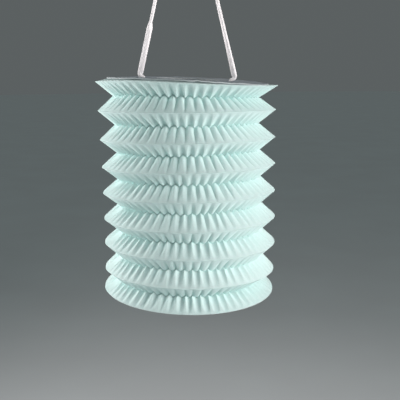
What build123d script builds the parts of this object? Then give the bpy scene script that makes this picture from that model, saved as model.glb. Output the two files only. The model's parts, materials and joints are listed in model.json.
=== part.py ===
from build123d import *
import math
import os

# An accordion paper lantern: a pleated paper drum between two card ends, hung on a braided cord.
# Millimetres. +Z is up, +X runs through both cord holes, and -Y is the front. The origin is the
# hang point, on the inside of the cord's bend, where a hook bears.

# Paper drum
outer_radius = 70.0  # outer folds
band_slant = 16.5  # width of one paper band, from fold to fold
paper_thickness = 0.2
top_pleat = 20.3  # height of the first pleat, two bands
middle_pleat = 21.45  # height of each pleat between the first and the last
bottom_pleat = 16.2  # height of the last pleat, which hangs less open
middle_pleats = 6
flap_width = 12.0  # the sheet's ends, folded inwards and glued to the card

# Card ends
card_radius = 63.0
card_thickness = 1.0
opening_radius = 25.0
cord_hole_radius = 3.25
cord_hole_x = 34.0

# Hanging cord: a flat braid, drawn as a round tube of the braid's width
cord_diameter = 4.6
cord_drop = 145.0  # hang point to the top fold
knot_radius = 5.0
knot_gap = 0.9  # below the card, so that the lantern can swing on its knots
knot_grip = 2.2  # length of cord inside the knot
tail_length = 6.0

# Candle clip, bent from tinplate
tin = 0.4
clip_width = 9.0
clip_half_length = 13.2
leaf_width = 8.0
leaf_height = 13.0
leaf_gap = 13.0  # candle diameter that it holds
leaf_flare = 1.6
tab_length = 5.0
slit_clearance = 0.1

rim_z = -cord_drop
card_under_z = rim_z + paper_thickness
card_top_z = card_under_z + card_thickness
pleats = [top_pleat] + [middle_pleat] * middle_pleats + [bottom_pleat]
base_fold_z = rim_z - sum(pleats)
floor_z = base_fold_z - paper_thickness
base_z = floor_z - card_thickness

# The cord's route in the XZ plane, from the right knot to the top bend. The left side mirrors it.
cord_side = [
    (cord_hole_x, card_under_z - knot_gap - knot_grip),
    (cord_hole_x, card_top_z + 1.6),
    (cord_hole_x + 4.2, card_top_z + 5.6),
    (4.4, cord_diameter / 2),
]
cord_route = [(-x, z) for x, z in cord_side] + [point for point in reversed(cord_side)]


def fold_circles():
    """(radius, z) of every fold from the top rim down: outer, inner, outer and so on."""
    circles = [(outer_radius, rim_z)]
    z = rim_z
    for height in pleats:
        depth = math.sqrt(band_slant**2 - (height / 2) ** 2)
        circles.append((outer_radius - depth, z - height / 2))
        circles.append((outer_radius, z - height))
        z -= height
    return circles


def turned(points):
    """The solid that a closed outline in the XZ plane sweeps round the Z axis."""
    outline = Polyline(*[(x, 0, z) for x, z in points], close=True)
    return revolve(make_face(outline), Axis.Z, 360)


def disc(low_z, high_z, radius, hole=0.0):
    height = high_z - low_z
    body = Pos(0, 0, low_z + height / 2) * Cylinder(radius, height)
    if hole:
        body -= Pos(0, 0, low_z + height / 2) * Cylinder(hole, 2 * height)
    return body


def fold_half_width(start, end):
    """Half of the paper's thickness, measured level, on the band between two folds."""
    rise = abs(start[1] - end[1])
    return paper_thickness / 2 * math.hypot(rise, start[0] - end[0]) / rise


def paper_band(start, end, half_width):
    """A cone of paper between two fold circles, cut level at both, where the next band joins."""
    (r0, z0), (r1, z1) = start, end
    return turned(
        [(r0 - half_width, z0), (r0 + half_width, z0), (r1 + half_width, z1), (r1 - half_width, z1)]
    )


def top_card():
    """The ring that closes the top, with the candle opening and the two cord holes."""
    body = disc(card_under_z, card_top_z, card_radius, opening_radius)
    for side in (-1, 1):
        body -= Pos(side * cord_hole_x, 0, card_under_z) * Cylinder(cord_hole_radius, 4)
    return body


def bottom_card():
    """The closed bottom disc, slit for the clip's tabs and pressed in where they fold flat."""
    body = disc(base_z, floor_z, card_radius)
    tab_width = clip_width + 2 * slit_clearance
    for side in (-1, 1):
        slit = Box(tin + 2 * slit_clearance, tab_width, 4 * card_thickness)
        recess_length = tab_length + tin / 2 + slit_clearance
        recess = Box(recess_length, tab_width, 2 * tin)
        body -= Pos(side * clip_half_length, 0, floor_z) * slit
        recess_x = side * (clip_half_length - tab_length / 2 + (tin / 2 - slit_clearance) / 2)
        body -= Pos(recess_x, 0, base_z) * recess
    return body


def candle_clip():
    """A cross of tinplate: two arms folded under the card, and two bent up to hold the candle."""
    plate_z = floor_z + tin / 2
    arms = Pos(0, 0, plate_z) * Box(2 * clip_half_length + tin, clip_width, tin)
    for side in (-1, 1):
        drop = floor_z - base_z
        leg = Pos(side * clip_half_length, 0, floor_z - drop / 2) * Box(tin, clip_width, drop)
        tab_x = side * (clip_half_length - tab_length / 2)
        arms += leg
        arms += Pos(tab_x, 0, base_z + tin / 2) * Box(tab_length, clip_width, tin)
    inner = leaf_gap / 2
    straight = 0.75 * leaf_height
    leaf = [
        (0, floor_z),
        (inner + tin, floor_z),
        (inner + tin, floor_z + straight),
        (inner + tin + leaf_flare, floor_z + leaf_height),
        (inner + leaf_flare, floor_z + leaf_height),
        (inner, floor_z + straight),
        (inner, floor_z + tin),
        (0, floor_z + tin),
    ]
    for side in (-1, 1):
        outline = Polyline(*[(0, side * y, z) for y, z in leaf], close=True)
        arms += extrude(make_face(outline), amount=leaf_width / 2, dir=(1, 0, 0), both=True)
    return arms


def arc_radii(points):
    """At each corner, 0.45 of the shorter run beside it over the tangent of half the turn."""
    radii = []
    for before, at, after in zip(points, points[1:], points[2:]):
        arriving = Vector(*at) - Vector(*before)
        leaving = Vector(*after) - Vector(*at)
        half_turn = math.radians(arriving.get_angle(leaving)) / 2
        radii.append(0.45 * min(arriving.length, leaving.length) / math.tan(half_turn))
    return radii


def hanging_cord():
    """The cord from inside one knot, up over the hook and down into the other knot."""
    points = [(x, 0, z) for x, z in cord_route]
    radii = arc_radii(points)
    path = FilletPolyline(*points, radius=radii)
    section = Plane(origin=path @ 0, z_dir=path % 0) * Circle(cord_diameter / 2)
    tube = sweep(section, path=path)
    expected = math.pi * cord_diameter**2 / 4 * path.length
    print("cord radii", [round(r, 2) for r in radii], "length", round(path.length, 1))
    print("cord volume", round(tube.volume), "section times length", round(expected))
    return tube


def cord_knot(side):
    """An overhand knot drawn as a ball, with the cord's tail below it."""
    centre_z = card_under_z - knot_gap - knot_radius
    ball = Sphere(knot_radius)
    tail = Pos(0, 0, -(knot_radius + tail_length) / 2) * Cylinder(
        cord_diameter / 2, knot_radius + tail_length
    )
    return Pos(side * cord_hole_x, 0, centre_z) * (ball + tail)


def main():
    os.makedirs("parts", exist_ok=True)
    folds = fold_circles()
    half_width = fold_half_width(folds[2], folds[3])
    parts = {}
    for number, (start, end) in enumerate(zip(folds, folds[1:]), 1):
        parts[f"paper_band_{number:02d}"] = paper_band(start, end, half_width)
    flap_outer = outer_radius + half_width
    flap_inner = outer_radius - flap_width
    parts["top_paper_flap"] = disc(rim_z, card_under_z, flap_outer, flap_inner)
    parts["bottom_paper_flap"] = disc(floor_z, base_fold_z, flap_outer, flap_inner)
    parts["top_card_ring"] = top_card()
    parts["bottom_card_disc"] = bottom_card()
    parts["candle_clip"] = candle_clip()
    parts["hanging_cord"] = hanging_cord()
    parts["cord_knot_left"] = cord_knot(-1)
    parts["cord_knot_right"] = cord_knot(1)
    for name, shape in parts.items():
        export_step(shape, f"parts/{name}.step")
    print("rim", rim_z, "bottom fold", round(base_fold_z, 2), "base", round(base_z, 2))
    for radius, z in folds:
        print("fold", round(radius, 3), round(z, 3))


main()
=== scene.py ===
import json
import math

import bpy
import numpy as np
from mathutils import Matrix, Vector


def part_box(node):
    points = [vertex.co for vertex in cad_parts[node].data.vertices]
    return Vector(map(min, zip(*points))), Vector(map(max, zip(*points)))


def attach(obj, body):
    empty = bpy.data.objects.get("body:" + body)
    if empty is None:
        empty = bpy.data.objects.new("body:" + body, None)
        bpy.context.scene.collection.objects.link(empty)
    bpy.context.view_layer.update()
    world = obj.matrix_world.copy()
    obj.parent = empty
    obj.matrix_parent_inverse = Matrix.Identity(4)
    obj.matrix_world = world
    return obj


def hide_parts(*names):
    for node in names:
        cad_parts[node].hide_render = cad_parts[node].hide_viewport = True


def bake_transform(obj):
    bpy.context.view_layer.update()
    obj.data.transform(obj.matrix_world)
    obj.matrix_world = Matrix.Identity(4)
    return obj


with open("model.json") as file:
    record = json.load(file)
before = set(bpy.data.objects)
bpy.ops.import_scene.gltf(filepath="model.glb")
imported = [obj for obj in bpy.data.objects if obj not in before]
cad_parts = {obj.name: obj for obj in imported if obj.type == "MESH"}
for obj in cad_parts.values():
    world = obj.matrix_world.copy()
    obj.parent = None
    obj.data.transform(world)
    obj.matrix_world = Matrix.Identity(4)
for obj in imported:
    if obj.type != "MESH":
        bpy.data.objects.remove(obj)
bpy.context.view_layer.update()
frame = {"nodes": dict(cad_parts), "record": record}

# An accordion paper lantern, hanging on its cord in a plain studio. Metres, in the frame of the CAD:
# +Z is up, the cord's holes are on X, -Y is the front, and the origin is the hang point.
# Azimuths run from -Y towards +X.

MM = 0.001
RIM_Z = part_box("top_paper_flap")[0].z
BASE_FOLD_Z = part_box("bottom_paper_flap")[1].z
BASE_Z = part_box("bottom_card_disc")[0].z
BAND_COUNT = 16
LAST_FOLD = BAND_COUNT // 2  # outer folds are numbered from 0, at the rim, and each pleat has two bands

# The photograph's camera
CAMERA_PLACE = (0.0, -0.5141, RIM_Z + 0.002)
CAMERA_LENS = 57.8
CAMERA_PITCH = math.radians(-10.59)
CAMERA_YAW = math.radians(-0.96)
CAMERA_ROLL = math.radians(-0.56)

# The paper's flutes: pinched where the sheet is gathered into its inner folds, and gone before the
# outer folds
FLUTES = 60
FLUTE_STEPS = 14  # columns of the mesh in one flute
BAND_ROWS = 14
FLUTE_HEIGHT = 2.5 * MM
CREST_SHARE = 0.58  # how much of that height is above the fold's level
FLUTE_REACH = 0.95  # share of the band that a flute reaches across
FLUTE_FADE = 0.7  # power of the fade across that reach: below 1, a flute keeps its height for longer
NARROWEST = 0.55  # width of a flute at its far end, against its width at the inner fold
CREST_POWER = 0.8  # below 1, the cusps and peaks are sharper than a sine's
ROW_POWER = 0.9  # below 1, the mesh's rows are wider apart beside the inner fold
CUSP_AZIMUTH = math.radians(-2.2)
# At each inner fold, how far the flutes have moved to the right, in flutes, and how far they are
# round arches with sharp cusps below (1) or hanging lobes with sharp peaks above (0)
VALLEY_DRIFT = [0.0, 0.04, 0.10, 0.14, 0.13, 0.13, 0.15, 0.13]
VALLEY_ARCHES = [1.0, 0.95, 0.8, 0.6, 0.4, 0.2, 0.0, 0.1]
# How uneven the flutes are: in place (in flutes), height, lean and share of arch
UNEVEN_PLACE = 0.05
UNEVEN_HEIGHT = 0.1
UNEVEN_LEAN = 0.05
UNEVEN_ARCH = 0.15
SEAM_AZIMUTH = math.radians(-71.0)  # the lap's cut edge, on the outside
LAP_WIDTH = math.radians(9.0)
LAP_FADE = 0.05  # angle, in radians, over which the flutes end beside the lap
LAP_STEP = 0.28 * MM
PAPER_HALF = 0.14 * MM  # half of the paper's thickness, measured level
FLAP_EDGE = 58.0 * MM  # radius of the folded-in ends' inner edges

# How the lantern hangs out of true. For each outer fold: how far it slopes up to the right and up to
# the back, in degrees, and what is added to its height, its radius and its place in x, in millimetres
FOLD_TILT = [0.0, -0.2, 0.2, 0.6, 0.2, -0.1, -0.8, -1.2, -1.6]
FOLD_NOD = [0.0, -0.6, -1.0, -1.1, -1.3, -0.6, -0.2, -0.8, 1.8]
FOLD_LIFT = [0.0, -0.7, -1.3, -0.9, -0.5, 0.1, 1.4, 1.1, 1.1]
FOLD_GROWTH = [1.2, -0.1, -0.8, -1.0, -1.1, -1.2, -1.1, -1.3, -1.2]
FOLD_SHIFT = [-0.7, -1.0, -0.7, -0.2, -0.1, 0.1, 0.1, -0.4, -1.2]
# For each inner fold: how much deeper it is, and its place in x, in millimetres
VALLEY_DEPTH = [1.4, 2.2, 2.5, 2.4, 2.3, 1.6, 0.9, -0.1]
VALLEY_SHIFT = [-1.8, -1.3, -0.4, 0.1, 0.4, 0.2, -0.4, -3.1]
# How far the folds ripple round the drum
OUTER_RIPPLE_HEIGHT = 0.16 * MM
OUTER_RIPPLE_DEPTH = 0.1 * MM
INNER_RIPPLE_DEPTH = 0.15 * MM
# Height of the top fold round the rim, in millimetres: a constant, then the cosine and the sine of
# the azimuth and of two and three times the azimuth
RIM_WAVES = [0.1, -0.9, -2.5, 0.8, -0.1, -0.3, -0.5]

CARD_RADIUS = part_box("top_card_ring")[1].x
CARD_OPENING = 25.0 * MM
CARD_EDGE_ROUND = 0.12 * MM
FLAT_RADIUS = 45.0 * MM  # inside it the card's edge isn't ragged or lifted
BETWEEN_RADIUS = 55.0 * MM
HOLE_RADIUS = 3.25 * MM
# How the top card is bent: its height in the middle, its slopes up to the right and to the back, how
# far its left and right ends hang below its middle, and its twist; degrees and millimetres
CARD_MIDDLE = 0.4
CARD_TILT = math.radians(-2.9)
CARD_NOD = math.radians(1.3)
CARD_BEND = 1.5
CARD_TWIST = 0.6
# Where the top card's edge has come away from the paper: azimuth and half-width in degrees, and lift
# in millimetres
EDGE_GAPS = [
    (6.3, 3.0, 0.5),
    (13.0, 2.6, 0.28),
    (20.5, 4.0, 0.22),
    (-4.0, 3.0, 0.24),
    (-12.0, 4.5, 0.2),
    (38.0, 5.0, 0.2),
    (-38.0, 6.0, 0.25),
    (75.0, 5.0, 0.3),
    (118.0, 6.0, 0.35),
    (150.0, 5.0, 0.3),
    (-95.0, 6.0, 0.3),
    (-140.0, 5.0, 0.35),
    (-171.0, 4.0, 0.3),
]

# The cord, a flat braid that goes through two holes in the top card
CORD_WIDTH = 4.6 * MM
GATHERED_WIDTH = 3.1 * MM  # in the card's holes and the knots
CORD_THICKNESS = 2.7 * MM
BRAID_COLUMNS = 8
STITCH_LENGTH = 2.1 * MM
STITCH_LEAN = 0.85  # stitch lengths that a stitch climbs across its column
BRAID_SQUARE = 0.8  # power in the braid's section: 1 is an ellipse, and below 1 it is squarer
# Its route from each knot to the hook: x and z in millimetres
LEFT_STRAND = [
    (-34.0, -145.0),
    (-34.0, -140.2),
    (-37.9, -139.3),
    (-36.6, -135.0),
    (-10.6, -24.5),
    (-4.4, 2.3),
]
RIGHT_STRAND = [
    (32.7, -147.8),
    (32.7, -143.4),
    (37.1, -142.3),
    (36.1, -137.9),
    (9.8, -24.5),
    (4.4, 2.3),
]
# A knot's line on the right side, in millimetres from its middle: the trefoil's mean radius, how far its
# lobes stand out and its half-depth, the angle left open, and the cord going in at the top and out below
KNOT_DROP = 2.8  # from the cord's end to the knot's middle
KNOT_RING = 2.3
KNOT_BULGE = 1.25
KNOT_DEPTH = 1.75
KNOT_GAP = 0.3
KNOT_THICKNESS = 2.4  # of the cord in it
KNOT_NECK = [(0.0, 0.0, 4.6), (1.6, -0.6, 3.2)]
KNOT_TAIL = [(1.2, 0.5, -4.2), (0.0, 0.2, -7.0), (0.2, 0.0, -10.8)]

# The studio: for each softbox its azimuth in degrees, its height over the drum's middle, its width and
# height, and its power in watts
SOFTBOXES = {
    "right_softbox": (58, 0.06, 0.42, 0.6, 13.0),
    "left_softbox": (-97, 0.06, 0.42, 0.6, 14.0),
    "front_softbox": (-25, 0.1, 0.5, 0.5, 1.3),
    "back_softbox": (165, 0.5, 0.8, 0.6, 2.5),
}
SOFTBOX_COLOUR = (1.0, 0.87, 0.865)
OVERHEAD_STRENGTH = 0.28
OVERHEAD_SPREAD = math.radians(60)
SKY_COLOUR = (0.88, 0.985, 1.0, 1.0)
SKY_STRENGTH = 0.12
FLOOR_DROP = 0.6  # from the lantern's base
FLOOR_RADIUS = 40
FLOOR_SIDES = 64


def link(obj):
    bpy.context.scene.collection.objects.link(obj)
    return obj


def mesh_piece(name, points, faces, materials, smooth=True, slots=None, sharp_degrees=None):
    """A mesh object. smooth is one value, or each face's, and slots are the faces' material numbers."""
    mesh = bpy.data.meshes.new(name)
    mesh.from_pydata(np.asarray(points).tolist(), [], faces)
    for material in materials:
        mesh.materials.append(material)
    mesh.polygons.foreach_set("use_smooth", np.broadcast_to(smooth, len(faces)).tolist())
    if slots is not None:
        mesh.polygons.foreach_set("material_index", slots)
    if sharp_degrees:
        mesh.set_sharp_from_angle(angle=math.radians(sharp_degrees))
    mesh.update()
    return link(bpy.data.objects.new(name, mesh))


def ring_faces(rows, columns, closed=False):
    """Quads between rows of points, each row a ring. closed joins the last row to the first."""
    row = np.repeat(np.arange(rows if closed else rows - 1), columns)
    column = np.tile(np.arange(columns), rows if closed else rows - 1)
    here, below = row * columns, (row + 1) % rows * columns
    beside = (column + 1) % columns
    return np.stack([here + column, here + beside, below + beside, below + column], 1)


# ---------------------------------------------------------------- materials


class Nodes:
    """A Principled material, with short calls for the nodes that feed it."""

    def __init__(self, name):
        self.material = bpy.data.materials.new(name)
        self.material.use_nodes = True
        self.tree = self.material.node_tree
        self.shader = self.tree.nodes["Principled BSDF"]
        coordinates = self.tree.nodes.new("ShaderNodeTexCoord")
        self.place = coordinates.outputs["Object"]

    def set(self, **values):
        for key, value in values.items():
            self.shader.inputs[key.replace("_", " ")].default_value = value
        return self

    def feed(self, socket, output):
        self.tree.links.new(output, self.shader.inputs[socket])
        return self

    def stretched(self, scale):
        node = self.tree.nodes.new("ShaderNodeMapping")
        node.inputs["Scale"].default_value = scale
        self.tree.links.new(self.place, node.inputs["Vector"])
        return node.outputs["Vector"]

    def noise(self, scale, detail=3.0, roughness=0.55, vector=None):
        node = self.tree.nodes.new("ShaderNodeTexNoise")
        node.inputs["Scale"].default_value = scale
        node.inputs["Detail"].default_value = detail
        node.inputs["Roughness"].default_value = roughness
        self.tree.links.new(vector or self.place, node.inputs["Vector"])
        return node.outputs["Fac"]

    def ramp(self, factor, *stops):
        node = self.tree.nodes.new("ShaderNodeValToRGB")
        elements = node.color_ramp.elements
        while len(elements) < len(stops):
            elements.new(0.5)
        for element, (position, colour) in zip(elements, stops):
            element.position = position
            if isinstance(colour, float):
                colour = (colour, colour, colour)
            element.color = (*colour, 1.0)
        self.tree.links.new(factor, node.inputs["Fac"])
        return node.outputs["Color"]

    def multiply(self, a, b):
        node = self.tree.nodes.new("ShaderNodeMix")
        node.data_type = "RGBA"
        node.blend_type = "MULTIPLY"
        node.inputs["Factor"].default_value = 1.0
        self.tree.links.new(a, node.inputs["A"])
        self.tree.links.new(b, node.inputs["B"])
        return node.outputs["Result"]

    def bump(self, height, distance, strength=1.0, under=None):
        node = self.tree.nodes.new("ShaderNodeBump")
        node.inputs["Distance"].default_value = distance
        node.inputs["Strength"].default_value = strength
        self.tree.links.new(height, node.inputs["Height"])
        if under:
            self.tree.links.new(under, node.inputs["Normal"])
        return node.outputs["Normal"]


def paper_material():
    """Soft uncoated mint paper: cloudy pulp, fine fibres, and a faint tooth."""
    n = Nodes("mint_paper").set(Specular_IOR_Level=0.3)
    pulp = n.noise(700, 5.0, 0.65)
    clouds = n.ramp(pulp, (0.3, (0.565, 0.775, 0.757)), (0.7, (0.615, 0.815, 0.798)))
    fibres = n.ramp(n.noise(2600, 3.0, 0.7), (0.3, 0.93), (0.65, 1.0))
    n.feed("Base Color", n.multiply(clouds, fibres))
    n.feed("Roughness", n.ramp(n.noise(1800), (0.3, 0.72), (0.7, 0.9)))
    tooth = n.bump(n.noise(2200, 4.0, 0.7), 0.00005)
    n.feed("Normal", n.bump(n.noise(420, 2.0), 0.00012, under=tooth))
    return n.material


def card_material():
    """Grey-mint recycled board with darker and paler flecks."""
    n = Nodes("grey_card").set(Specular_IOR_Level=0.35)
    pulp = n.ramp(n.noise(500, 6.0, 0.7), (0.35, (0.16, 0.22, 0.25)), (0.65, (0.205, 0.275, 0.31)))
    flecks = n.ramp(n.noise(1500, 2.0, 0.8), (0.3, 0.78), (0.42, 1.0), (0.66, 1.0), (0.8, 1.12))
    n.feed("Base Color", n.multiply(pulp, flecks))
    n.feed("Roughness", n.ramp(n.noise(900), (0.3, 0.7), (0.7, 0.88)))
    n.feed("Normal", n.bump(n.noise(1300, 4.0, 0.7), 0.00006))
    return n.material


def card_edge_material():
    """The card's cut edge: paler, with the layers of the board along it."""
    n = Nodes("card_edge").set(Specular_IOR_Level=0.3)
    layers = n.noise(2600, 3.0, vector=n.stretched((0.15, 0.15, 2.0)))
    n.feed("Base Color", n.ramp(layers, (0.3, (0.33, 0.41, 0.42)), (0.7, (0.5, 0.59, 0.6))))
    n.feed("Roughness", n.ramp(n.noise(1200), (0.3, 0.75), (0.7, 0.92)))
    n.feed("Normal", n.bump(layers, 0.00005))
    return n.material


def braid_material():
    """White cotton yarn, a shade greyer in random patches."""
    n = Nodes("white_cotton").set(Sheen_Weight=0.4, Sheen_Roughness=0.5, Specular_IOR_Level=0.2)
    yarn = n.ramp(n.noise(1500, 3.0), (0.3, (0.9, 0.96, 0.97)), (0.7, (0.94, 0.99, 1.0)))
    n.feed("Base Color", yarn)
    n.feed("Roughness", n.ramp(n.noise(2000), (0.3, 0.8), (0.7, 0.95)))
    fuzz = n.noise(5200, 3.0, 0.75)
    n.feed("Normal", n.bump(fuzz, 0.00006))
    return n.material


def tinplate_material():
    """Bright tinplate with the rolling marks along the strip and a few dull patches."""
    n = Nodes("tinplate").set(Metallic=1.0)
    marks = n.noise(900, 4.0, vector=n.stretched((0.08, 1.0, 1.0)))
    n.feed("Base Color", n.ramp(marks, (0.3, (0.6, 0.6, 0.58)), (0.7, (0.74, 0.74, 0.72))))
    n.feed("Roughness", n.ramp(n.noise(260, 4.0), (0.35, 0.24), (0.7, 0.42)))
    n.feed("Normal", n.bump(marks, 0.00002))
    return n.material


def floor_material():
    """Pale matt studio floor, very slightly uneven in tone."""
    n = Nodes("pale_floor").set(Roughness=0.85, Specular_IOR_Level=0.2)
    clouds = n.noise(3.0, 2.0)
    n.feed("Base Color", n.ramp(clouds, (0.3, (0.51, 0.57, 0.575)), (0.7, (0.53, 0.6, 0.605))))
    return n.material


PAPER = paper_material()
CARD = card_material()
CARD_EDGE = card_edge_material()
BRAID = braid_material()
TINPLATE = tinplate_material()

# ---------------------------------------------------------------- camera, light and floor


def make_camera():
    data = bpy.data.cameras.new("photo_camera")
    data.sensor_width = 36
    data.lens = CAMERA_LENS
    camera = link(bpy.data.objects.new("photo_camera", data))
    aim = Matrix.Rotation(CAMERA_YAW, 4, "Z") @ Matrix.Rotation(math.pi / 2 + CAMERA_PITCH, 4, "X")
    camera.matrix_world = Matrix.Translation(CAMERA_PLACE) @ aim @ Matrix.Rotation(CAMERA_ROLL, 4, "Z")
    bpy.context.scene.camera = camera


def softbox(name, place, aim, width, height, watts):
    data = bpy.data.lights.new(name, "AREA")
    data.shape = "RECTANGLE"
    data.size = width
    data.size_y = height
    data.energy = watts
    data.color = SOFTBOX_COLOUR
    light = link(bpy.data.objects.new(name, data))
    light.location = place
    light.rotation_euler = (Vector(aim) - Vector(place)).to_track_quat("-Z", "Y").to_euler()


def make_studio():
    """Light from both sides, and a little from the front and the back, over a floor under an even sky."""
    middle = Vector((0, 0, (RIM_Z + BASE_FOLD_Z) / 2))
    for name, (azimuth, rise, width, height, watts) in SOFTBOXES.items():
        a = math.radians(azimuth)
        place = middle + Vector((math.sin(a), -math.cos(a), rise))
        softbox(name, place, middle, width, height, watts)
    overhead = bpy.data.lights.new("overhead", "SUN")
    overhead.angle = OVERHEAD_SPREAD
    overhead.energy = OVERHEAD_STRENGTH
    link(bpy.data.objects.new("overhead", overhead))
    world = bpy.data.worlds.new("studio")
    world.use_nodes = True
    background = world.node_tree.nodes["Background"]
    background.inputs["Color"].default_value = SKY_COLOUR
    background.inputs["Strength"].default_value = SKY_STRENGTH
    bpy.context.scene.world = world
    bpy.context.scene.view_settings.view_transform = "Standard"
    turn = np.linspace(0, 2 * math.pi, FLOOR_SIDES + 1)[:-1]
    edge = [(FLOOR_RADIUS * math.sin(a), -FLOOR_RADIUS * math.cos(a), BASE_Z - FLOOR_DROP) for a in turn]
    floor = mesh_piece("floor", edge, [list(range(FLOOR_SIDES))], [floor_material()], smooth=False)


make_camera()
make_studio()

# ---------------------------------------------------------------- cord and knots


def nurbs_line(points, steps):
    """Points along the smooth NURBS spline that has these control points."""
    curve = bpy.data.curves.new("line", "CURVE")
    curve.dimensions = "3D"
    curve.resolution_u = steps
    spline = curve.splines.new("NURBS")
    spline.points.add(len(points) - 1)
    for control, point in zip(spline.points, points):
        control.co = (*point, 1.0)
    spline.order_u = 3
    spline.use_endpoint_u = True
    holder = link(bpy.data.objects.new("line", curve))
    mesh = bpy.data.meshes.new_from_object(holder)
    line = np.array([v.co for v in mesh.vertices], float)
    bpy.data.objects.remove(holder)
    bpy.data.curves.remove(curve)
    bpy.data.meshes.remove(mesh)
    return line


def even(line, spacing):
    """The same line with points a constant distance apart, and each one's distance along it."""
    run = np.concatenate([[0], np.cumsum(np.linalg.norm(np.diff(line, axis=0), axis=1))])
    along = np.linspace(0, run[-1], int(run[-1] / spacing) + 1)
    return np.stack([np.interp(along, run, line[:, k]) for k in range(3)], 1), along


def braid_relief(around, along):
    """Height from 0 to 1 of a flat herringbone braid: slanting stitches in columns round it."""
    column = around * BRAID_COLUMNS
    across = column % 1.0
    lean = np.where(np.floor(column) % 2 == 0, 1.0, -1.0)
    stitch = (along / STITCH_LENGTH + lean * (across - 0.5) * STITCH_LEAN) % 1.0
    crown = np.sqrt(np.sin(np.pi * stitch))
    return crown * np.sin(np.pi * across) ** 0.4


def braided_tube(name, line, spacing, width, thickness, facing, relief=0.22 * MM, sides=48):
    """A flat braid along a line, and the points that it follows.

    width(along) is its width and facing(along) turns its wide side out of the line's plane, both from
    the distance along the line.
    """
    centre, along = even(line, spacing)
    tangent = np.gradient(centre, axis=0)
    tangent /= np.linalg.norm(tangent, axis=1)[:, None]
    side = np.cross([0.0, 1.0, 0.0], tangent)
    length = np.linalg.norm(side, axis=1)
    # Where the line runs nearly along Y, the side before it is kept
    for i in range(len(side)):
        side[i] = side[i] / length[i] if length[i] > 0.2 else side[i - 1]
    up = np.cross(tangent, side)
    up /= np.linalg.norm(up, axis=1)[:, None]
    side = np.cross(up, tangent)
    turn = facing(along)[:, None]
    wide = np.cos(turn) * side + np.sin(turn) * up
    flat = -np.sin(turn) * side + np.cos(turn) * up
    around = np.arange(sides) / sides
    angle = 2 * np.pi * around
    half_width = width(along)[:, None] / 2 - relief
    x = np.sign(np.cos(angle)) * np.abs(np.cos(angle)) ** BRAID_SQUARE * half_width
    y = np.sign(np.sin(angle)) * np.abs(np.sin(angle)) ** BRAID_SQUARE * (thickness / 2 - relief)
    height = relief * braid_relief(around[None, :], along[:, None])
    swell = 1 + height / np.hypot(x, y)
    ring = (x * swell)[:, :, None] * wide[:, None, :] + (y * swell)[:, :, None] * flat[:, None, :]
    points = (centre[:, None, :] + ring).reshape(-1, 3)
    rows = len(centre)
    points = np.vstack([points, centre[:1], centre[-1:]])
    caps = [[rows * sides, (k + 1) % sides, k] for k in range(sides)]
    last = (rows - 1) * sides
    caps += [[rows * sides + 1, last + k, last + (k + 1) % sides] for k in range(sides)]
    return mesh_piece(name, points, ring_faces(rows, sides).tolist() + caps, [BRAID]), centre


def cord_facing(along):
    """Turn of the braid's wide side, from facing the camera (0) to edge on (a quarter turn).

    Each stop is a distance from the left knot, in metres, and the turn there.
    """
    quarter = math.pi / 2
    total = along[-1]
    stops = [
        (0.0, quarter),
        (0.005, quarter),
        (0.011, 0.0),
        (0.0425, 0.0),
        (0.0495, quarter),
        (total - 0.075, quarter),
        (total - 0.020, math.radians(47)),
        (total - 0.011, math.radians(26)),
        (total - 0.005, quarter),
    ]
    return np.interp(along, *zip(*stops))


def cord_width(along):
    """Width of the braid, which gathers to go through the card at both ends."""
    end = along[-1]
    stops = [
        (0.0, GATHERED_WIDTH),
        (0.004, GATHERED_WIDTH),
        (0.010, CORD_WIDTH),
        (end - 0.010, CORD_WIDTH),
        (end - 0.004, GATHERED_WIDTH),
    ]
    return np.interp(along, *zip(*stops))


def make_cord():
    route = [(x * MM, 0.0, z * MM) for x, z in LEFT_STRAND + RIGHT_STRAND[::-1]]
    line = nurbs_line(route, steps=24)
    cord, centre = braided_tube("cord", line, 0.24 * MM, cord_width, CORD_THICKNESS, cord_facing)
    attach(cord, "hanger")
    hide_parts("hanging_cord")
    return cord, centre


def make_knot(side, name, node):
    """An overhand knot: a trefoil cut open at one lobe, one end going up and the other down."""
    x, z = LEFT_STRAND[0] if side < 0 else RIGHT_STRAND[0]
    centre = np.array((x, 0.0, z - KNOT_DROP))
    lobes = []
    for t in np.linspace(2 * math.pi - KNOT_GAP, KNOT_GAP, 26):
        reach = KNOT_RING + KNOT_BULGE * math.cos(3 * t)
        lobes.append((reach * math.cos(2 * t), KNOT_DEPTH * math.sin(3 * t), reach * math.sin(2 * t)))
    points = np.array(KNOT_NECK + lobes + KNOT_TAIL)
    line = nurbs_line((centre + points * (side, 1, 1)) * MM, steps=10)
    knot, _ = braided_tube(
        name,
        line,
        spacing=0.3 * MM,
        width=lambda along: np.full_like(along, GATHERED_WIDTH),
        thickness=KNOT_THICKNESS * MM,
        facing=np.zeros_like,
        relief=0.15 * MM,
        sides=32,
    )
    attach(knot, "hanger")
    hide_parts(node)
    return knot


cord, cord_path = make_cord()
knots = [
    make_knot(-1, "left_knot", "cord_knot_left"),
    make_knot(1, "right_knot", "cord_knot_right"),
]

# ---------------------------------------------------------------- paper drum


def fold_circles():
    """(radius, height) of every fold, from the top rim down, read from the CAD bands."""
    circles = []
    for number in range(1, BAND_COUNT + 1):
        points = np.array([v.co for v in frame["nodes"][f"paper_band_{number:02d}"].data.vertices])
        reach = np.hypot(points[:, 0], points[:, 1])
        top, bottom = points[:, 2].max(), points[:, 2].min()
        for level in (top, bottom) if number == 1 else (bottom,):
            at_fold = reach[np.abs(points[:, 2] - level) < 1e-6]
            circles.append(((at_fold.min() + at_fold.max()) / 2, level))
    return circles


FOLDS = fold_circles()
COLUMNS = FLUTES * FLUTE_STEPS
AZIMUTH = CUSP_AZIMUTH + 2 * np.pi * np.arange(COLUMNS) / COLUMNS


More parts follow.
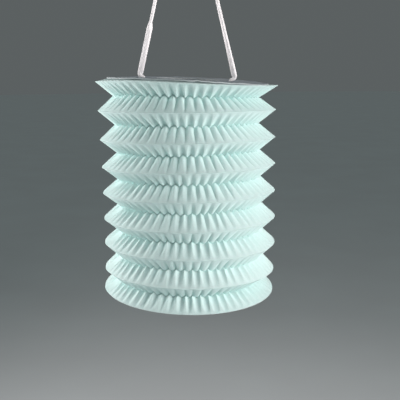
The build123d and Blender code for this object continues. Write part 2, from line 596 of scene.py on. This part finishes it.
def wave(count, seed):
    """A slow, smooth, random ripple round the drum, about 1 high."""
    draw = np.random.default_rng(seed)
    total = np.zeros(COLUMNS)
    for order in range(2, 2 + count):
        total += draw.normal() / order * np.cos(order * AZIMUTH + draw.uniform(0, 2 * np.pi))
    return total


def from_seam():
    """Signed angle from the seam's cut edge, positive towards the smooth lap on its left."""
    return (SEAM_AZIMUTH - AZIMUTH + np.pi) % (2 * np.pi) - np.pi


def ease(x):
    """0 below 0 and 1 above 1, with a smooth turn between them."""
    x = np.clip(x, 0.0, 1.0)
    return x * x * (3 - 2 * x)


def outer_fold(index):
    """Radius and height round outer fold number index, from 0 at the rim to the last at the base."""
    radius, level = FOLDS[2 * index]
    right = math.tan(math.radians(FOLD_TILT[index])) * radius * np.sin(AZIMUTH)
    back = -math.tan(math.radians(FOLD_NOD[index])) * radius * np.cos(AZIMUTH)
    height = level + FOLD_LIFT[index] * MM + right + back
    radius = radius + (FOLD_GROWTH[index] + FOLD_SHIFT[index] * np.sin(AZIMUTH)) * MM
    if index == 0:
        height = height + RIM_WAVES[0] * MM
        for order in (1, 2, 3):
            cosine, sine = RIM_WAVES[2 * order - 1 : 2 * order + 1]
            turned = order * AZIMUTH
            height = height + (cosine * np.cos(turned) + sine * np.sin(turned)) * MM
    elif index < LAST_FOLD:
        height = height + OUTER_RIPPLE_HEIGHT * wave(5, 100 + index)
        radius = radius + OUTER_RIPPLE_DEPTH * wave(6, 200 + index)
    return radius, height


def flutes(index):
    """Round inner fold number index: the place inside a flute, from 0 to 1, and its height."""
    draw = np.random.default_rng(300 + index)
    turn = np.arange(COLUMNS) / FLUTE_STEPS - VALLEY_DRIFT[index] + UNEVEN_PLACE * wave(4, 400 + index)
    flute = np.floor(turn).astype(int) % FLUTES
    amount = (1 + UNEVEN_HEIGHT * draw.normal(size=FLUTES))[flute]
    skew = (UNEVEN_LEAN * draw.normal(size=FLUTES))[flute]
    arches = np.clip(VALLEY_ARCHES[index] + UNEVEN_ARCH * draw.normal(size=FLUTES), 0, 1)[flute]
    inside = turn % 1.0
    inside = np.clip(inside + skew * np.sin(np.pi * inside), 0, 1)
    lap = from_seam()
    plain = ease((lap + LAP_FADE) / LAP_FADE) * ease((LAP_WIDTH + LAP_FADE - lap) / LAP_FADE)
    return inside, amount * (1 - plain), arches


def crest(inside, arches):
    """The fold's height in a flute: a round arch between sharp cusps, or the other way up."""
    arch = np.sin(np.pi * inside) ** CREST_POWER
    peak = 1 - np.abs(np.cos(np.pi * inside)) ** CREST_POWER
    return arches * arch + (1 - arches) * peak


def band_surface(number):
    """The middle surface of a band: rows from its inner fold (0) to its outer fold.

    Below an inner fold the flutes are grooves, one from each cusp, and above it they are hollows,
    one over each arch. Both get narrower and shallower away from the fold.
    """
    inner = (number - 1) // 2
    outer = number // 2
    outer_radius, outer_height = outer_fold(outer)
    inner_radius, level = FOLDS[2 * inner + 1]
    nominal = (FOLDS[2 * inner][1] + FOLDS[2 * inner + 2][1]) / 2
    level = level + (outer_fold(inner)[1] + outer_fold(inner + 1)[1]) / 2 - nominal
    inner_radius = inner_radius + INNER_RIPPLE_DEPTH * wave(6, 500 + inner)
    inner_radius = inner_radius + (VALLEY_SHIFT[inner] * np.sin(AZIMUTH) - VALLEY_DEPTH[inner]) * MM
    inside, amount, arches = flutes(inner)
    share = np.linspace(0, 1, BAND_ROWS + 1)[:, None] ** ROW_POWER
    left = np.clip(1 - share / FLUTE_REACH, 0, 1) ** FLUTE_FADE
    width = NARROWEST + (1 - NARROWEST) * left
    top, bottom = CREST_SHARE, CREST_SHARE - 1
    if number % 2:
        away = np.minimum(0.5, np.abs(inside - 0.5) / width)
        lift = bottom + left * amount * crest(0.5 + np.copysign(away, inside - 0.5), arches)
        start = bottom
    else:
        near = np.minimum(0.5, np.minimum(inside, 1 - inside) / width)
        lift = top + left * (bottom - top + amount * crest(near, arches))
        start = top
    base = level + start * FLUTE_HEIGHT
    height = base + (outer_height - base) * share + (lift - start) * FLUTE_HEIGHT
    radius = inner_radius + (outer_radius - inner_radius) * share
    # The lap stands out from its cut edge on, and sinks back into the sheet around its far end
    lap = from_seam()
    raised = np.where(lap >= 0, ease((LAP_WIDTH * 1.3 - lap) / (LAP_WIDTH * 0.6)), 0.0)
    return radius + LAP_STEP * raised, height


def make_band(number):
    """A band of paper: two sheets a paper's thickness apart, joined along both folds."""
    radius, height = band_surface(number)
    rows = BAND_ROWS + 1
    sheets = []
    for offset in (PAPER_HALF, -PAPER_HALF):
        r = radius + offset
        sheets.append(np.stack([r * np.sin(AZIMUTH), -r * np.cos(AZIMUTH), height], 2).reshape(-1, 3))
    outside = ring_faces(rows, COLUMNS)
    back = rows * COLUMNS
    inside = outside[:, ::-1] + back
    here = np.arange(COLUMNS)
    beside = (here + 1) % COLUMNS
    last = (rows - 1) * COLUMNS
    inner_edge = np.stack([here, back + here, back + beside, beside], 1)
    outer_edge = last + np.stack([beside, back + beside, back + here, here], 1)
    faces = np.vstack([outside, inside, inner_edge, outer_edge])
    if number % 2:
        faces = faces[:, ::-1]
    on_sheet = np.arange(len(faces)) < 2 * len(outside)
    name = f"band_{number:02d}"
    band = mesh_piece(name, np.vstack(sheets), faces.tolist(), [PAPER], on_sheet, sharp_degrees=38)
    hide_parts(f"paper_band_{number:02d}")
    return band


def fold_share(index):
    """How far fold number index, from 0 at the rim to 16 at the base, follows the base."""
    if index in (0, BAND_COUNT):
        return index / BAND_COUNT
    for row in frame["record"]["behaviour"]["couplings"]:
        if row["joint"] == f"fold_{index:02d}_travel":
            return row["ratio"]
    return (fold_share(index - 1) + fold_share(index + 1)) / 2


def along_blend(weight):
    """Where along a blend's run its smooth weight has this value."""
    return 0.5 - math.sin(math.asin(1 - 2 * weight) / 3)


def blend_run(upper, lower):
    """Start and end of the blend from the top to the base that gives two folds their travel."""
    t0, t1 = along_blend(fold_share(upper)), along_blend(fold_share(lower))
    z0, z1 = FOLDS[upper][1], FOLDS[lower][1]
    run = (z0 - z1) / (t1 - t0)
    start = z0 + t0 * run
    return (0, 0, start), (0, 0, start - run)


for number in range(1, BAND_COUNT + 1):
    band = make_band(number)
    # The same blend run is worked out for both bands of an outer fold
    fold = 2 * (number // 2)
    start, end = blend_run(max(fold - 1, 0), min(fold + 1, BAND_COUNT))
    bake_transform(band)

# ---------------------------------------------------------------- flaps, card ends and candle clip


def turned_ring(name, profile, materials, shape, columns=COLUMNS):
    """A closed ring: a (radius, height, material) outline turned round Z, then shaped by a function."""
    azimuth = CUSP_AZIMUTH + 2 * np.pi * np.arange(columns) / columns
    radius, height, slots = (np.array(v)[:, None] for v in zip(*profile))
    radius, height = shape(radius, height, azimuth[None, :])
    radius = radius + np.zeros_like(height)
    points = np.stack([radius * np.sin(azimuth), -radius * np.cos(azimuth), height], 2).reshape(-1, 3)
    faces = ring_faces(len(profile), columns, closed=True).tolist()
    slots = np.repeat(slots.ravel(), columns)
    return mesh_piece(name, points, faces, materials, slots=slots, sharp_degrees=30)


def card_height(radius, azimuth):
    """How far the bent top card is above its place in the CAD."""
    x, y = radius * np.sin(azimuth), -radius * np.cos(azimuth)
    across, deep = x / CARD_RADIUS, y / CARD_RADIUS
    curved = CARD_MIDDLE + CARD_BEND * (1 - across**2) + CARD_TWIST * across * deep
    return curved * MM + math.tan(CARD_TILT) * x + math.tan(CARD_NOD) * y


def no_height(radius, azimuth):
    """The bottom card is level, and in its place in the CAD."""
    return 0.0


def make_flap(name, node, fold, pucker, seat, body):
    """The sheet's end, folded in over the card's edge and puckered finely as it gathers.

    It lies on the card, which seat(radius, azimuth) puts above its place in the CAD, and from the
    card's edge it goes straight to the fold.
    """
    low, high = (corner.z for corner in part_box(node))
    rim_radius, rim_height = outer_fold(fold)
    rim_height = rim_height - FOLDS[2 * fold][1]
    inner = FLAP_EDGE
    outer = float(rim_radius.mean()) + PAPER_HALF
    # The mesh's rings are closer together where the flap bends over the card's edge
    radii = [inner, 60.0 * MM, 61.5 * MM, CARD_RADIUS, 65.0 * MM, 67.0 * MM, outer - 0.1 * MM, outer]
    profile = [(r, low, 0) for r in radii] + [(r, high, 0) for r in radii[::-1]]

    def shape(radius, height, azimuth):
        gathered = np.clip((outer - radius) / (outer - inner), 0, 1)
        crease = 1 - np.abs(np.sin(FLUTES * (azimuth - CUSP_AZIMUTH)))
        beyond = np.clip((radius - CARD_RADIUS) / (outer - CARD_RADIUS), 0, 1)
        lean = (1 - beyond) * seat(radius, azimuth) + beyond * rim_height[None, :]
        reach = beyond * (rim_radius - rim_radius.mean())[None, :]
        return radius + reach, height + lean + pucker * gathered * crease

    flap = turned_ring(name, profile, [PAPER], shape)
    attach(flap, body)
    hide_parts(node)


make_flap("top_flap", "top_paper_flap", 0, -0.3 * MM, card_height, "top")
make_flap("bottom_flap", "bottom_paper_flap", LAST_FOLD, 0.3 * MM, no_height, "bottom")


def cut_holes(piece, places, radius, sides=48):
    """Cut round holes down through a flat piece at the top of the drum, at these places in x."""
    turn = np.linspace(0, 2 * math.pi, sides + 1)[:-1]
    for x in places:
        ring = [(x + radius * math.cos(a), radius * math.sin(a)) for a in turn]
        points = [(*place, z) for z in (RIM_Z - 0.02, RIM_Z + 0.02) for place in ring]
        ends = [list(range(sides))[::-1], list(range(sides, 2 * sides))]
        cutter = mesh_piece("cutter", points, ring_faces(2, sides).tolist() + ends, [], smooth=False)
        cut = piece.modifiers.new("cut", "BOOLEAN")
        cut.operation = "DIFFERENCE"
        cut.object = cutter
        cut_piece = piece.evaluated_get(bpy.context.evaluated_depsgraph_get())
        result = bpy.data.meshes.new_from_object(cut_piece)
        piece.modifiers.clear()
        piece.data = result
        bpy.data.objects.remove(cutter)


def make_top_card():
    """The card ring that closes the top, bent and a little warped, with a pale cut edge."""
    low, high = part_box("top_card_ring")
    radius, opening, soft = CARD_RADIUS, CARD_OPENING, CARD_EDGE_ROUND
    profile = [
        (opening, low.z + soft, 1),
        (opening + soft, low.z, 0),
        (FLAT_RADIUS, low.z, 0),
        (BETWEEN_RADIUS, low.z, 0),
        (radius - soft, low.z, 1),
        (radius, low.z + soft, 1),
        (radius, high.z - soft, 1),
        (radius - soft, high.z, 0),
        (BETWEEN_RADIUS, high.z, 0),
        (FLAT_RADIUS, high.z, 0),
        (opening + soft, high.z, 1),
        (opening, high.z - soft, 1),
    ]

    def shape(r, height, azimuth):
        # The edge is a little ragged, and lifts in slow waves as well as at the gaps
        edge = ease((r - FLAT_RADIUS) / (radius - FLAT_RADIUS))
        lift = 0.06 * MM * (1 + np.cos(3 * azimuth + 1.0)) + 0.03 * MM * (1 + np.cos(11 * azimuth))
        for place, half_width, rise in EDGE_GAPS:
            away = (azimuth - math.radians(place) + math.pi) % (2 * math.pi) - math.pi
            lift = lift + rise * MM * np.exp(-((away / math.radians(half_width)) ** 2))
        ragged = 0.08 * MM * np.cos(17 * azimuth + 0.7) + 0.06 * MM * np.cos(43 * azimuth)
        return r + edge * ragged, height + card_height(r, azimuth) + edge * lift

    card = turned_ring("card_ring", profile, [CARD, CARD_EDGE], shape, columns=540)
    cut_holes(card, [LEFT_STRAND[0][0] * MM, RIGHT_STRAND[0][0] * MM], HOLE_RADIUS)
    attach(card, "top")
    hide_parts("top_card_ring")


make_top_card()

for node, material in (("bottom_card_disc", CARD), ("candle_clip", TINPLATE)):
    data = frame["nodes"][node].data
    data.materials.clear()
    data.materials.append(material)
